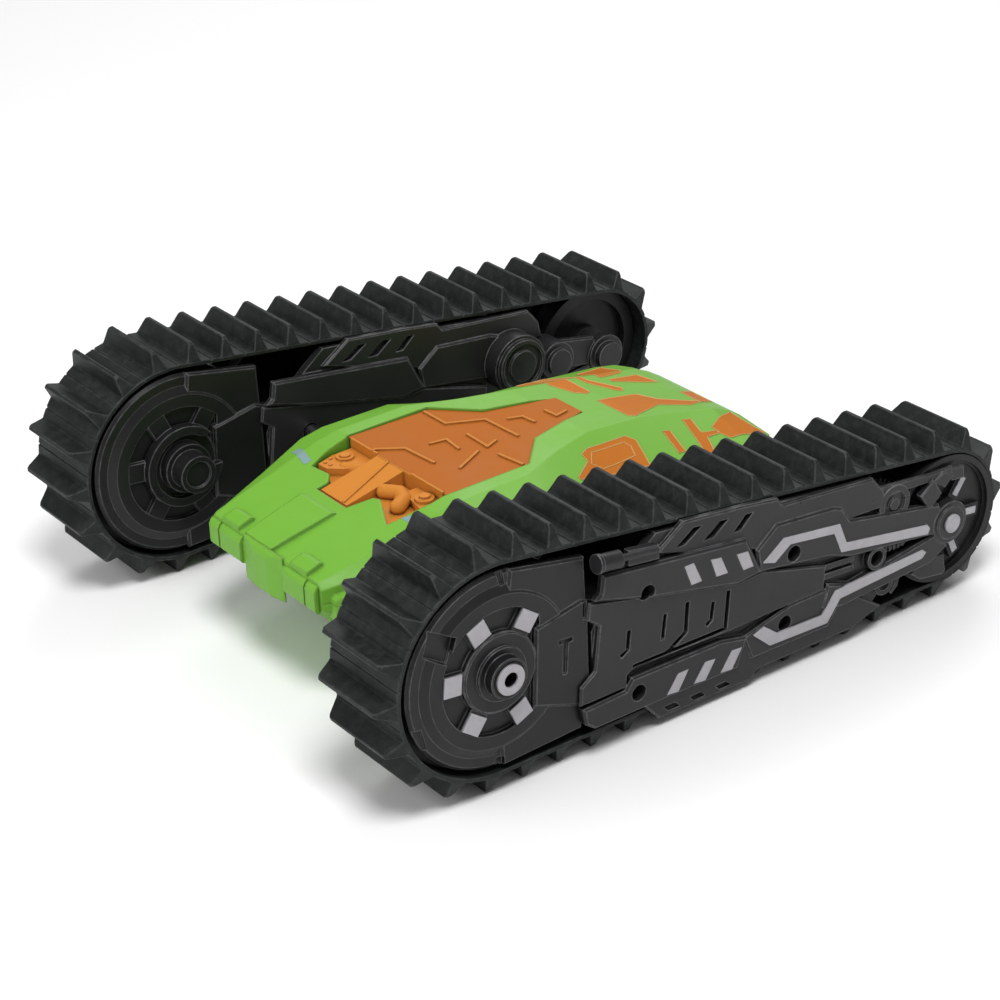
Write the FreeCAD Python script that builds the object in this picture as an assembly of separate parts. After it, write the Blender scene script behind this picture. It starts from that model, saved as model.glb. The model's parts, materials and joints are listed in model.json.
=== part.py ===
import FreeCAD, Part
import math
import os

# Tracked tank chassis, a toy-scale driving base: a low hull between two track units.
# +X is forward, +Y is the vehicle's left, +Z is up. The ground is z = 0. Millimetres.
# The left track unit is built here and the right one is its mirror image in y = 0.

V = FreeCAD.Vector

# ---- driving dimensions ----
WHEEL_BASE = 200.0
FRONT_X = 93.9           # front hub
REAR_X = FRONT_X - WHEEL_BASE
FRONT_R = 39.4           # belt's outer surface round the front wheel
REAR_R = 26.7            # and round the rear sprocket
LUG_HEIGHT = 6.9
LUG_COUNT = 42
LUG_PHASE = 1.8          # distance of the first lug from the start of the top run
LUG_BASE_HALF = 3.2
LUG_CREST_HALF = 0.8
LUG_END_SLOPE = 4.5      # how far the crest stops short of the belt's edge
BELT_THICK = 1.6
RIB_HEIGHT = 2.5         # guide rib on the belt's inside
RIB_HALF = 2.0
BELT_OUT = 118.6         # belt's outboard edge
BELT_IN = 80.3           # belt's inboard edge
BELT_GAP = 0.35          # running gap between belt and wheels
FRONT_Z = FRONT_R + LUG_HEIGHT
REAR_Z = REAR_R + LUG_HEIGHT
PIVOT_X = 38.0           # arm pivot
PIVOT_Z = 43.0
FLEX_TOP = (35.2, 78.7)  # path distances between which the belt bends, on the top run
FLEX_BOTTOM_X = (16.5, 60.0)
PIN_R = 3.0
AXLE_R = 2.5
FIT_GAP = 0.05           # radial running clearance of a shaft in its hole
MODULE = 0.8
MOTOR_X = -57.5
MOTOR_Z = 45.2
MOTOR_R = 10.0
GEAR_X = -75.6
GEAR_Z = 41.9
PINION_TEETH = 10
GEAR_TEETH = 36
SMALL_TEETH = 25
DRIVE_TEETH = 54
GEAR_Y = (109.4, 112.4)  # motor pinion and large gear
DRIVE_Y = (104.8, 108.8)  # small gear and drive gear
ROAD_X = (6.0, -24.0)
ROAD_R = 7.0
ROAD_Z = LUG_HEIGHT + BELT_THICK + BELT_GAP + ROAD_R
WHEEL_Y = (88.0, 111.0)
TUBE_X = (36.0, -40.0)   # cross tubes between the track units
TUBE_Z = 27.0
TUBE_R = 5.0


# ---- small tools ----
def plate(points, y0, y1):
    """Flat piece with the given outline in X and Z, from y0 to y1."""
    corners = [V(x, y0, z) for x, z in points]
    wire = Part.makePolygon(corners + corners[:1])
    return Part.Face(wire).extrude(V(0, y1 - y0, 0))


def panel(points, y0, y1, bevel=0.6):
    """A plate whose face at y1 has bevelled edges."""
    body = plate(points, y0, y1)
    rim = [e for e in body.Edges if all(abs(v.Y - y1) < 1e-6 for v in e.Vertexes)]
    return body.makeChamfer(bevel, rim)


def disc(x, z, r, y0, y1):
    """Round piece about a line along Y."""
    return Part.makeCylinder(r, y1 - y0, V(x, y0, z), V(0, 1, 0))


def ring(x, z, r, hole, y0, y1):
    return disc(x, z, r, y0, y1).cut(disc(x, z, hole, y0 - 1, y1 + 1))


def cone(x, z, r0, r1, y0, y1):
    return Part.makeCone(r0, r1, y1 - y0, V(x, y0, z), V(0, 1, 0))


def box(x0, x1, y0, y1, z0, z1):
    return Part.makeBox(x1 - x0, y1 - y0, z1 - z0, V(x0, y0, z0))


def join(shapes):
    whole = shapes[0].multiFuse(shapes[1:]) if len(shapes) > 1 else shapes[0]
    return whole.removeSplitter()


def radial_bar(x, z, angle, r0, r1, half, y0, y1):
    """A bar that points away from a hub."""
    c = math.cos(math.radians(angle))
    s = math.sin(math.radians(angle))
    corners = [(r0, -half), (r1, -half), (r1, half), (r0, half)]
    return plate([(x + r * c - w * s, z + r * s + w * c) for r, w in corners], y0, y1)


def export(name, shape):
    shape.exportStep("parts/" + name + ".step")


def export_pair(name, shape):
    """Writes the left piece and its mirror image."""
    export("left_" + name, shape)
    export("right_" + name, shape.mirror(V(0, 0, 0), V(0, 1, 0)))


def both_sides(shape):
    """One node that holds the left piece and its mirror image."""
    return Part.makeCompound(shape.Solids + shape.mirror(V(0, 0, 0), V(0, 1, 0)).Solids)


# ---- the belt's path ----
# It starts where the top run leaves the front wheel and goes rearwards along the top.
LEAN = math.asin((FRONT_R - REAR_R) / math.hypot(WHEEL_BASE, FRONT_Z - REAR_Z))
TOP_ANGLE = math.pi / 2 + 2 * LEAN
REAR_ARC = REAR_R * (math.pi - 2 * LEAN)
FRONT_ARC = FRONT_R * (math.pi + 2 * LEAN)
RUN = WHEEL_BASE
LOOP = 2 * RUN + REAR_ARC + FRONT_ARC
PITCH = LOOP / LUG_COUNT
BREAKS = (0.0, RUN, RUN + REAR_ARC, 2 * RUN + REAR_ARC, LOOP)


def path(s, off):
    """Point at distance s along the belt, off millimetres outside its surface, and the outward normal."""
    s = s % LOOP
    if s < BREAKS[1]:
        a = TOP_ANGLE
        x = FRONT_X + FRONT_R * math.cos(a) - s * math.sin(a)
        z = FRONT_Z + FRONT_R * math.sin(a) + s * math.cos(a)
    elif s < BREAKS[2]:
        a = TOP_ANGLE + (s - BREAKS[1]) / REAR_R
        x = REAR_X + REAR_R * math.cos(a)
        z = REAR_Z + REAR_R * math.sin(a)
    elif s < BREAKS[3]:
        a = 3 * math.pi / 2
        x = REAR_X + s - BREAKS[2]
        z = LUG_HEIGHT
    else:
        a = 3 * math.pi / 2 + (s - BREAKS[3]) / FRONT_R
        x = FRONT_X + FRONT_R * math.cos(a)
        z = FRONT_Z + FRONT_R * math.sin(a)
    n = (math.cos(a), math.sin(a))
    return x + off * n[0], z + off * n[1], n


def path_edges(s0, s1, off, y):
    """Lines and arcs that follow the belt from s0 to s1."""
    stops = [s0] + [b for b in BREAKS + (LOOP + RUN,) if s0 < b < s1] + [s1]
    edges = []
    for a, b in zip(stops, stops[1:]):
        m = (a + b) / 2
        ends = [path(s, off) for s in (a + 1e-7, m, b - 1e-7)]
        points = [V(p[0], y, p[1]) for p in ends]
        straight = (m % LOOP) < BREAKS[1] or BREAKS[2] < (m % LOOP) < BREAKS[3]
        if straight:
            edges.append([points[0], points[2]])
        else:
            edges.append(points)
    return edges


def band(s0, s1, outer, inner, y0, y1):
    """A strip of belt between two distances, from offset inner to offset outer."""
    def edge(points):
        if len(points) == 2:
            return Part.makeLine(points[0], points[1])
        return Part.Arc(points[0], points[1], points[2]).toShape()

    out = path_edges(s0, s1, outer, y0)
    back = path_edges(s0, s1, inner, y0)
    for run in (out, back):
        for before, after in zip(run, run[1:]):
            after[0] = before[-1]
    edges = [edge(p) for p in out]
    edges.append(Part.makeLine(out[-1][-1], back[-1][-1]))
    edges += [edge(p) for p in reversed(back)]
    edges.append(Part.makeLine(back[0][0], out[0][0]))
    wire = Part.Wire(Part.__sortEdges__(edges))
    return Part.Face(wire).extrude(V(0, y1 - y0, 0))


def lug(s):
    """One blade of the tread, with sloped flanks and ends, its foot sunk into the belt."""
    def wire(off, half, inset):
        x, z, n = path(s, off)
        tx, tz = -n[1], n[0]
        low = BELT_IN + inset
        high = BELT_OUT - inset
        corners = [(-half, low), (half, low), (half, high), (-half, high)]
        points = [V(x + t * tx, y, z + t * tz) for t, y in corners]
        return Part.makePolygon(points + points[:1])

    foot = wire(-0.5, LUG_BASE_HALF, 0.3)
    crest = wire(LUG_HEIGHT, LUG_CREST_HALF, LUG_END_SLOPE)
    return Part.makeLoft([foot, crest], True, True)


def belt_piece(s0, s1):
    strip = band(s0, s1, 0, -BELT_THICK, BELT_IN, BELT_OUT)
    middle = (BELT_IN + BELT_OUT) / 2
    rib = band(s0, s1, -BELT_THICK, -BELT_THICK - RIB_HEIGHT, middle - RIB_HALF, middle + RIB_HALF)
    first = math.ceil((s0 - LUG_PHASE) / PITCH)
    last = math.floor((s1 - LUG_PHASE) / PITCH)
    lugs = [lug(LUG_PHASE + k * PITCH) for k in range(first, last + 1)]
    return join([strip, rib] + lugs)


def bottom_s(x):
    """Path distance of a point on the bottom run."""
    return BREAKS[2] + x - REAR_X


def belts():
    low = bottom_s(FLEX_BOTTOM_X[0])
    high = bottom_s(FLEX_BOTTOM_X[1])
    export_pair("belt_rear", belt_piece(FLEX_TOP[1], low))
    export_pair("belt_front", belt_piece(high, LOOP + FLEX_TOP[0]))
    flex = [belt_piece(FLEX_TOP[0], FLEX_TOP[1]), belt_piece(low, high)]
    export_pair("belt_flex", Part.makeCompound(flex))


# ---- wheels and gears ----
def wheel(x, z, r, y0, y1, bore):
    """Rimmed wheel with a groove for the belt's guide rib."""
    middle = (BELT_IN + BELT_OUT) / 2
    body = disc(x, z, r, y0, y1)
    groove = ring(x, z, r + 1, r - RIB_HEIGHT - 0.5, middle - RIB_HALF - 0.6, middle + RIB_HALF + 0.6)
    dish = ring(x, z, r - 5, 8, y1 - 4, y1 + 1)
    back = ring(x, z, r - 5, 8, y0 - 1, y0 + 4)
    hole = disc(x, z, bore, y0 - 1, y1 + 1)
    return body.cut(groove).cut(dish).cut(back).cut(hole)


def gear(x, z, teeth, y0, y1, bore, turn):
    """Spur gear. turn is the angle, in teeth, of its first tooth from +X."""
    pitch_r = MODULE * teeth / 2
    step = 2 * math.pi / teeth
    profile = ((pitch_r - 1.15 * MODULE, 0.33), (pitch_r, 0.215), (pitch_r + 0.8 * MODULE, 0.10))
    points = []
    for k in range(teeth):
        centre = (k + turn) * step
        flank = [(r, centre - w * step) for r, w in profile]
        flank += [(r, centre + w * step) for r, w in reversed(profile)]
        points += [(x + r * math.cos(a), z + r * math.sin(a)) for r, a in flank]
    return plate(points, y0, y1).cut(disc(x, z, bore, y0 - 1, y1 + 1))


def front_wheel():
    body = wheel(FRONT_X, FRONT_Z, FRONT_R - BELT_THICK - BELT_GAP, WHEEL_Y[0], WHEEL_Y[1], AXLE_R + FIT_GAP)
    windows = [disc(FRONT_X + 20 * math.cos(a), FRONT_Z + 20 * math.sin(a), 6, 80, 118)
               for a in [k * math.pi / 3 for k in range(6)]]
    export_pair("front_wheel", body.cut(Part.makeCompound(windows)))
    shaft = disc(FRONT_X, FRONT_Z, AXLE_R, 71.0, 121.0)
    head = disc(FRONT_X, FRONT_Z, 4.2, 121.0, 125.0).fuse(disc(FRONT_X, FRONT_Z, 6.0, 122.4, 125.0))
    export_pair("front_axle", join([shaft, head]).cut(disc(FRONT_X, FRONT_Z, 2.7, 121.4, 126.0)))


def rear_sprocket():
    r = REAR_R - BELT_THICK - BELT_GAP
    y1 = 118.9
    body = wheel(REAR_X, REAR_Z, r, WHEEL_Y[0], 104.3, AXLE_R)
    sleeve = ring(REAR_X, REAR_Z, 6.0, AXLE_R, DRIVE_Y[1], 113.7)
    rim = ring(REAR_X, REAR_Z, r, r - 3.2, 113.0, y1)
    rim = rim.cut(disc(REAR_X, REAR_Z, r - 2.2, y1 - 1.4, y1 + 1))
    face = disc(REAR_X, REAR_Z, r - 1.8, 113.6, 116.4).cut(disc(REAR_X, REAR_Z, AXLE_R, 110, 118))
    hub = ring(REAR_X, REAR_Z, 8.2, AXLE_R, 113.6, 118.2)
    spokes = [radial_bar(REAR_X, REAR_Z, a, 8, 18.4, 2.6, 116.4, 118.2) for a in bar_angles()]
    outer = join([sleeve, rim, face, hub] + spokes)
    export_pair("rear_sprocket", Part.makeCompound([body, outer]))
    bars = [radial_bar(REAR_X, REAR_Z, a, 9.4, 16.8, 1.3, 118.2, 118.8) for a in bar_angles()]
    export_pair("rear_wheel_bars", Part.makeCompound(bars))
    export_pair("rear_axle", disc(REAR_X, REAR_Z, AXLE_R, 73.6, 121.5))
    export_pair("drive_gear", gear(REAR_X, REAR_Z, DRIVE_TEETH, DRIVE_Y[0], DRIVE_Y[1], AXLE_R, 0.0))


def bar_angles():
    return [6 + 60 * k for k in range(6)]


def gear_train():
    # each gear is turned so that a tooth of one stands in a gap of the next
    a = math.atan2(GEAR_Z - REAR_Z, GEAR_X - REAR_X) / (2 * math.pi)
    small_turn = (a + 0.5) * SMALL_TEETH + DRIVE_TEETH * a + 0.5
    b = math.atan2(MOTOR_Z - GEAR_Z, MOTOR_X - GEAR_X) / (2 * math.pi)
    large_turn = 0.0
    pinion_turn = (b + 0.5) * PINION_TEETH + GEAR_TEETH * b + 0.5
    large = gear(GEAR_X, GEAR_Z, GEAR_TEETH, GEAR_Y[0], GEAR_Y[1], PIN_R / 2 + FIT_GAP, large_turn)
    small = gear(GEAR_X, GEAR_Z, SMALL_TEETH, DRIVE_Y[0], DRIVE_Y[1], PIN_R / 2 + FIT_GAP, small_turn)
    collar = ring(GEAR_X, GEAR_Z, 5, PIN_R / 2 + FIT_GAP, DRIVE_Y[1], GEAR_Y[0])
    export_pair("compound_gear", join([large, collar, small]))
    pinion = gear(MOTOR_X, MOTOR_Z, PINION_TEETH, GEAR_Y[0], GEAR_Y[1], 1.0, pinion_turn)
    shaft = disc(MOTOR_X, MOTOR_Z, 1.0, 96.0, GEAR_Y[1])
    export_pair("motor_pinion", join([pinion, shaft]))
    can = disc(MOTOR_X, MOTOR_Z, MOTOR_R, 83.4, 104.0)
    can = can.common(box(MOTOR_X - 20, MOTOR_X + 20, 80, 110, MOTOR_Z - 7.6, MOTOR_Z + 7.6))
    neck = disc(MOTOR_X, MOTOR_Z, 3.2, 104.0, 106.0)
    bore = disc(MOTOR_X, MOTOR_Z, 1.0 + FIT_GAP, 95.5, 107)
    export("drive_motors", both_sides(join([can, neck]).cut(bore)))


def road_wheels():
    middle = (BELT_IN + BELT_OUT) / 2
    for name, x in zip("ab", ROAD_X):
        body = disc(x, ROAD_Z, ROAD_R, 90, 109)
        body = body.cut(ring(x, ROAD_Z, ROAD_R + 1, ROAD_R - 3, middle - 2.6, middle + 2.6))
        export_pair("road_wheel_" + name, body.cut(disc(x, ROAD_Z, PIN_R / 2 + FIT_GAP, 89, 110)))
    pins = [disc(x, ROAD_Z, PIN_R / 2, BELT_IN + 1.2, BELT_OUT - 1.2) for x in ROAD_X]
    pins.append(disc(GEAR_X, GEAR_Z, PIN_R / 2, BELT_IN - 1.8, BELT_OUT + 1.6))
    export("track_axle_pins", both_sides(Part.makeCompound(pins)))


# ---- outlines shared by the two faces of a track unit ----
# The frame's front edge keeps clear of the arm, which swings up about the pivot.
FRAME_ZONE = [(56.3, 11.3), (56.3, 47.0), (52.8, 54.3), (37.4, 67.4), (28.5, 74.2), (18, 73.2),
              (-24, 67.8), (-68.5, 62.0), (-75, 53), (-75, 16), (-70, 11.3)]
BACK_PLATE = [(30, 67.5), (18, 75.5), (-8, 72.5), (-24, 70), (-26, 67), (-68.5, 63), (-73.5, 57),
              (-75, 50), (-20, 52)]
UPPER_PANEL = [(53.5, 68.5), (-8.5, 60.5), (-15.5, 45.5), (-4.5, 44.5), (33, 53), (57, 59.8), (54.5, 62)]
TONGUE = [(58.4, 59.3), (-5, 44.5), (-16, 45), (-46.5, 36.5), (-45.5, 27), (2, 26.5), (39.5, 28),
          (43, 26.5), (43.5, 21.8), (63.2, 21.8), (62.6, 29.0), (56.8, 33.0), (54.6, 49.4), (59.4, 53.2)]
TONGUE_FRONT = [(60.5, 60.8), (79.3, 57.1), (80.9, 28.2), (64, 22.0), (57.6, 22.0), (57.6, 59.6)]
LOW_BAND = [(62.5, 20.6), (44.5, 21.2), (41.5, 25), (2, 24.5), (-9.5, 22), (-5, 11), (37.5, 11.5),
            (57.5, 11.5), (61.5, 14.5)]
SKIRT = [(36, 11.4), (29, 3.6), (-12, 3.1), (-16, 6), (-60.5, 5.7), (-74.5, 10), (-60, 20), (-9.5, 20)]
LOW_PLATE = [(-8, 22), (-12, 12), (-48, 11.5), (-54, 20), (-50, 27), (-30, 27)]
PRONG_UP = [(-53, 57), (-57, 51), (-101, 42.5), (-104, 30), (-58, 36), (-46, 40), (-15, 45), (-13.5, 54),
            (-22.5, 61), (-49, 58.5)]
PRONG_LOW = [(-47, 29), (-58.5, 25), (-100, 31), (-106, 24), (-97.5, 19.5), (-54, 17.5), (-44, 20)]
SLOTS = [[(21.5, 67), (17.5, 66.8), (10, 71.5), (14, 72)],
         [(9.5, 65.5), (5.0, 65.2), (-1.5, 70), (2.5, 70.5)],
         [(-3.5, 64), (-7.0, 63.8), (-12.5, 68.8), (-9, 69)]]
SKIRT_POCKETS = [[(27, 7.5), (22, 7.5), (20, 5.2), (25, 5.2)],
                 [(15.5, 7), (10.5, 7), (8.5, 4.9), (13.5, 4.9)],
                 [(4, 6.8), (-1, 6.8), (-3, 4.8), (2, 4.8)]]
UPPER_SILVER = [[(19.5, 60), (15.5, 60), (12, 52), (16.5, 52)],
                [(8, 58.5), (3.5, 57.8), (0.5, 51), (5.5, 51.3)],
                [(-3.5, 56.5), (-8.5, 56), (-11, 49.5), (-6.5, 49.5)]]
LOWER_SILVER = [[(22, 19.5), (17.5, 19.5), (22, 12.5), (27, 13)],
                [(10, 19.5), (5.5, 19), (10, 12.3), (15, 12.8)],
                [(-2, 19.5), (-6.5, 19), (-2, 12), (3, 12.6)]]
STRIPE_UP = [(-16, 48.5), (-25.5, 55), (-51.5, 51.5), (-55, 43), (-94.5, 36.5), (-96, 34.5), (-95, 32.5),
             (-52.5, 40), (-49, 48.5), (-28.5, 51.5), (-21.5, 46.8)]
STRIPE_LOW = [(-12, 21.5), (-17, 23.2), (-23, 18.5), (-44, 17.8), (-50, 25.5), (-92.5, 27), (-94.5, 25.3),
              (-92.5, 23.5), (-52.5, 21.5), (-46.5, 13.8), (-19.5, 14.8)]
GROOVES = [[(17.8, 45), (16.0, 45), (17.0, 33.2), (25.2, 28.2), (26.2, 29.8), (18.8, 34.2)],
           [(-0.4, 43), (-2.2, 42.8), (-0.6, 27.8), (41, 28.2), (41, 29.8), (1.0, 29.4)],
           [(43.0, 43.5), (41.4, 43.5), (42.2, 35.8), (45.6, 34.0), (46.4, 35.4), (43.8, 36.6)],
           [(27.4, 44), (25.8, 44), (27.2, 34.5), (28.8, 34.5)],
           [(6.4, 41), (4.8, 41), (5.8, 33.8), (8.4, 32.2), (9.2, 33.6), (7.4, 34.6)]]
ARM_GROOVES = [[(70.4, 49.5), (64.6, 48.8), (64.6, 47.2), (66.4, 47.4), (67.2, 36), (69.0, 36), (68.4, 47.6),
                (70.4, 47.9)],
               [(60.2, 59.5), (58.6, 59.5), (58.6, 53.5), (60.2, 53.5)]]
SCREW_HOLES = ((35.0, 55.5), (39.0, 18.5), (-30.5, 47.0), (-27.0, 20.5))
RELIEF_BLOCKS = [([(-98.0, 51.3), (-102.8, 54.7), (-108.6, 51.8), (-103.8, 47.8)], 2.9),
                 ([(-91.3, 48.5), (-98.0, 52.9), (-102.0, 46.4), (-96.0, 41.5)], 3.4),
                 ([(-104.0, 54.6), (-114.0, 53.2), (-114.8, 48.0), (-108.4, 48.7)], 1.9),
                 ([(-89.5, 17.0), (-95.0, 21.2), (-106.0, 19.9), (-107.2, 12.7), (-105.8, 11.4),
                   (-94.2, 13.2)], 1.7),
                 ([(-84.4, 20.1), (-81.8, 20.1), (-80.4, 15.6), (-78.4, 14.0), (-80.0, 12.4),
                   (-82.9, 14.8)], 1.8)]
BASE_TOP = 0.8           # the covers' base, above the belt's edge
OVERHANG = 1.8           # underside of the panels that reach over the arm
REAR_SCREW = (-70.5, 31.0)
SCREW_HOLE_R = 3.0


def frame_face(sign, edge):
    """Covers one face of the frame. edge is the belt's edge there and sign points away from the belt."""
    def y(d):
        return edge + sign * d

    def layer(points, d0, d1, bevel):
        return panel(points, y(d0), y(d1), bevel)

    def overhanging(points, top, bevel):
        # the arm passes below the panel, so only its foot reaches down, inside the frame's zone
        foot = plate(points, y(BASE_TOP), y(OVERHANG))
        zone = plate(FRAME_ZONE, y(BASE_TOP), y(OVERHANG))
        return [foot.common(zone), layer(points, OVERHANG, top, bevel)]

    body = overhanging(UPPER_PANEL, 4.4, 0.9) + overhanging(TONGUE, 3.0, 0.6) + [
        plate(FRAME_ZONE, y(-2.6), y(BASE_TOP)),
        layer(LOW_BAND, BASE_TOP, 3.8, 0.8),
        layer(SKIRT, 0.4, 2.2, 0.5),
        layer(LOW_PLATE, BASE_TOP, 3.2, 0.6),
        layer(PRONG_UP, BASE_TOP, 3.6, 0.8),
        layer(PRONG_LOW, BASE_TOP, 3.6, 0.8),
        layer(BACK_PLATE, 0.4, 2.6, 0.6),
    ]
    return join(body), y


def frame_covers():
    out, y = frame_face(1, BELT_OUT)
    hub = ring(REAR_X, REAR_Z, 8.2, AXLE_R + FIT_GAP, y(0.6), y(3.8))
    hub = hub.fuse(ring(REAR_X, REAR_Z, 6.4, AXLE_R + FIT_GAP, y(3.8), y(4.6)))
    boss = disc(REAR_SCREW[0], REAR_SCREW[1], 4.4, y(0.0), y(3.4))
    out = join([out, hub, boss] + rear_relief(y))
    cuts = [plate(g, y(BASE_TOP), y(5)) for g in GROOVES]
    cuts += [plate(s, y(0.2), y(5)) for s in SLOTS]
    cuts += [plate(s, y(3.9), y(5)) for s in UPPER_SILVER]
    cuts += [plate(s, y(3.3), y(5)) for s in LOWER_SILVER]
    cuts += [plate(s, y(3.1), y(5)) for s in (STRIPE_UP, STRIPE_LOW)]
    cuts += [disc(x, z, SCREW_HOLE_R, y(-1.4), y(5)) for x, z in SCREW_HOLES + (REAR_SCREW,)]
    cuts += [plate(s, y(0.9), y(4)) for s in SKIRT_POCKETS]
    cuts.append(disc(REAR_X, REAR_Z, AXLE_R + FIT_GAP, y(-3), y(3.0)))
    cuts.append(disc(PIVOT_X, PIVOT_Z, PIN_R, y(-3), y(-0.6)))
    cuts += [disc(x, ROAD_Z, PIN_R / 2, y(-3), y(-1.2)) for x in ROAD_X]
    cuts.append(disc(GEAR_X, GEAR_Z, PIN_R / 2, y(-3), y(1.6)))
    cuts.append(disc(REAR_X, REAR_Z, REAR_R - 1.0, y(-4), y(0.6)))
    out = out.cut(Part.makeCompound(cuts)).removeSplitter()
    export_pair("frame_outer_cover", out)
    silver = [plate(s, y(3.9), y(4.6)) for s in UPPER_SILVER]
    silver += [plate(s, y(3.3), y(4.0)) for s in LOWER_SILVER]
    silver += [plate(s, y(3.1), y(3.9)) for s in (STRIPE_UP, STRIPE_LOW)]
    cap = disc(REAR_X, REAR_Z, 3.6, y(4.6), y(5.4)).fuse(cone(REAR_X, REAR_Z, 3.6, 2.2, y(5.4), y(6.3)))
    export("frame_silver_trim", both_sides(Part.makeCompound(silver + [cap])))


def rear_relief(y):
    """Mechanical-looking shapes round the fork that carries the rear axle."""
    shapes = []
    for x, z, r, hole, top in ((-79.2, 49.3, 7.4, 5.0, 2.6), (-75.5, 18.6, 4.6, 2.6, 2.2)):
        shapes.append(ring(x, z, r, hole, y(BASE_TOP), y(top)))
        shapes.append(disc(x, z, hole + 0.2, y(BASE_TOP), y(top - 0.9)))
    shapes.append(disc(-79.2, 49.3, 2.2, y(1.4), y(2.6)))
    strut = [(-66, 59.5), (-74, 58), (-88, 56.4), (-99, 55.2), (-108, 55), (-108, 51.6), (-98, 51.8),
             (-86, 52.6), (-74, 53.5), (-66, 54)]
    rods = [[(-44, z), (-60, z - 1.0), (-60, z + 1.0), (-44, z + 2.2)] for z in (30.8, 34.4)]
    shapes.append(panel(strut, y(BASE_TOP), y(2.2), 0.5))
    shapes += [panel(points, y(BASE_TOP), y(top), 0.4) for points, top in RELIEF_BLOCKS]
    shapes.append(plate([(-74, 30.4), (-86, 30.9), (-86, 33.8), (-74, 33.8)], y(BASE_TOP), y(1.4)))
    shapes += [box(x, x + 1.0, y(1.4), y(2.2), 31.0, 33.2) for x in (-84.6, -82.5, -80.4, -78.3, -76.2)]
    return shapes + [plate(r, y(0.4), y(2.4)) for r in rods]


def frame_inner_cover():
    body, y = frame_face(-1, BELT_IN)
    hub = disc(REAR_X, REAR_Z, 8.5, y(5.0), y(0.0)).fuse(disc(REAR_X, REAR_Z, 6.0, y(8.0), y(5.0)))
    bosses = [disc(MOTOR_X, MOTOR_Z, 12.5, y(11.0), y(0.6)), disc(MOTOR_X, MOTOR_Z, 11.0, y(13.0), y(11.0)),
              disc(GEAR_X, GEAR_Z, 8.0, y(12.0), y(0.6)), disc(GEAR_X, GEAR_Z, 5.5, y(14.0), y(12.0))]
    body = join([body, hub] + bosses)
    cuts = [plate(s, y(0.2), y(5)) for s in SLOTS]
    cuts.append(disc(REAR_X, REAR_Z, AXLE_R + FIT_GAP, y(7.0), y(-3)))
    cuts.append(disc(PIVOT_X, PIVOT_Z, PIN_R + 0.4, y(5), y(-3)))
    cuts.append(ring(MOTOR_X, MOTOR_Z, 9.5, 6.5, y(14), y(11.8)))
    cuts.append(disc(REAR_X, REAR_Z, REAR_R - 1.0, y(0.6), y(-4)))
    cuts += [disc(x, TUBE_Z, TUBE_R, y(5), y(-3)) for x in TUBE_X]
    cuts += [disc(x, ROAD_Z, PIN_R / 2, y(-1.2), y(-3)) for x in ROAD_X]
    cuts.append(disc(GEAR_X, GEAR_Z, PIN_R / 2, y(1.8), y(-3)))
    body = body.cut(Part.makeCompound(cuts)).removeSplitter()
    keep_axle = ring(REAR_X, REAR_Z, 8.5, AXLE_R + FIT_GAP, y(5.0), y(0.0))
    export_pair("frame_inner_cover", join([body, keep_axle]))


# ---- the frame's core ----
def frame_core():
    """Beam between the two covers, with the arm's knuckle at its front end and rails under the belt."""
    y0 = BELT_IN + 2.6
    y1 = BELT_OUT - 2.6
    beam = plate([(20, 26), (20, 66.5), (-40, 59), (-44, 30), (-38, 26)], y0, y1)
    beam = beam.cut(plate([(14, 30), (14, 60), (-34, 54), (-37, 32), (-32, 30)], y0 - 1, y1 + 1))
    neck = plate([(22, 36), (22, 50), (38, 50.5), (38, 35.5)], WHEEL_Y[0], WHEEL_Y[1])
    link = plate([(24, 36), (24, 50), (14, 50), (14, 36)], y0, y1)
    knuckle = disc(PIVOT_X, PIVOT_Z, 7.5, WHEEL_Y[0], WHEEL_Y[1])
    rail = plate([(20, 66.5), (-60, 56.5), (-60, 54.5), (20, 64.5)], y0, 96)
    rail = rail.fuse(plate([(20, 66.5), (-60, 56.5), (-60, 54.5), (20, 64.5)], 103, y1))
    sockets = [disc(x, TUBE_Z, TUBE_R + 2, y0, 96) for x in TUBE_X]
    foot = plate([(14, 22), (36, 22), (36, 33), (14, 33)], y0, 96)
    cradle = disc(MOTOR_X, MOTOR_Z, 12.0, y0, 102).fuse(box(-50, -40, y0, 102, 40, 50))
    body = join([beam, link, neck, knuckle, rail, foot, cradle] + sockets)
    holes = [disc(PIVOT_X, PIVOT_Z, PIN_R, 80, 120)]
    holes += [disc(x, TUBE_Z, TUBE_R, 70, 92) for x in TUBE_X]
    holes.append(disc(MOTOR_X, MOTOR_Z, MOTOR_R, 80, 120))
    export_pair("frame_core", body.cut(Part.makeCompound(holes)))
    export("pivot_pins", both_sides(disc(PIVOT_X, PIVOT_Z, PIN_R, WHEEL_Y[0], BELT_OUT - 0.6)))


def damper():
    """Moulded damper that lies along the top of the outer cover."""
    d = V(-12, 0, -1.6)
    start = V(57.2, BELT_OUT + 5.1, 74.4)
    cylinder = Part.makeCylinder(3.1, 9.5, start, d)
    collar = Part.makeCylinder(3.4, 1.4, start, d)
    rod = Part.makeCylinder(1.3, 26, start, d)
    outline = [(43, 74), (30.2, 72), (30.2, 66.8), (43, 68.4)]
    top = plate(outline, BELT_OUT + OVERHANG, BELT_OUT + 4.4)
    foot = plate(outline, BELT_OUT + BASE_TOP, BELT_OUT + OVERHANG)
    foot = foot.common(plate(FRAME_ZONE, BELT_OUT + BASE_TOP, BELT_OUT + OVERHANG))
    export("dampers", both_sides(join([cylinder, collar, rod, top, foot])))


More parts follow.
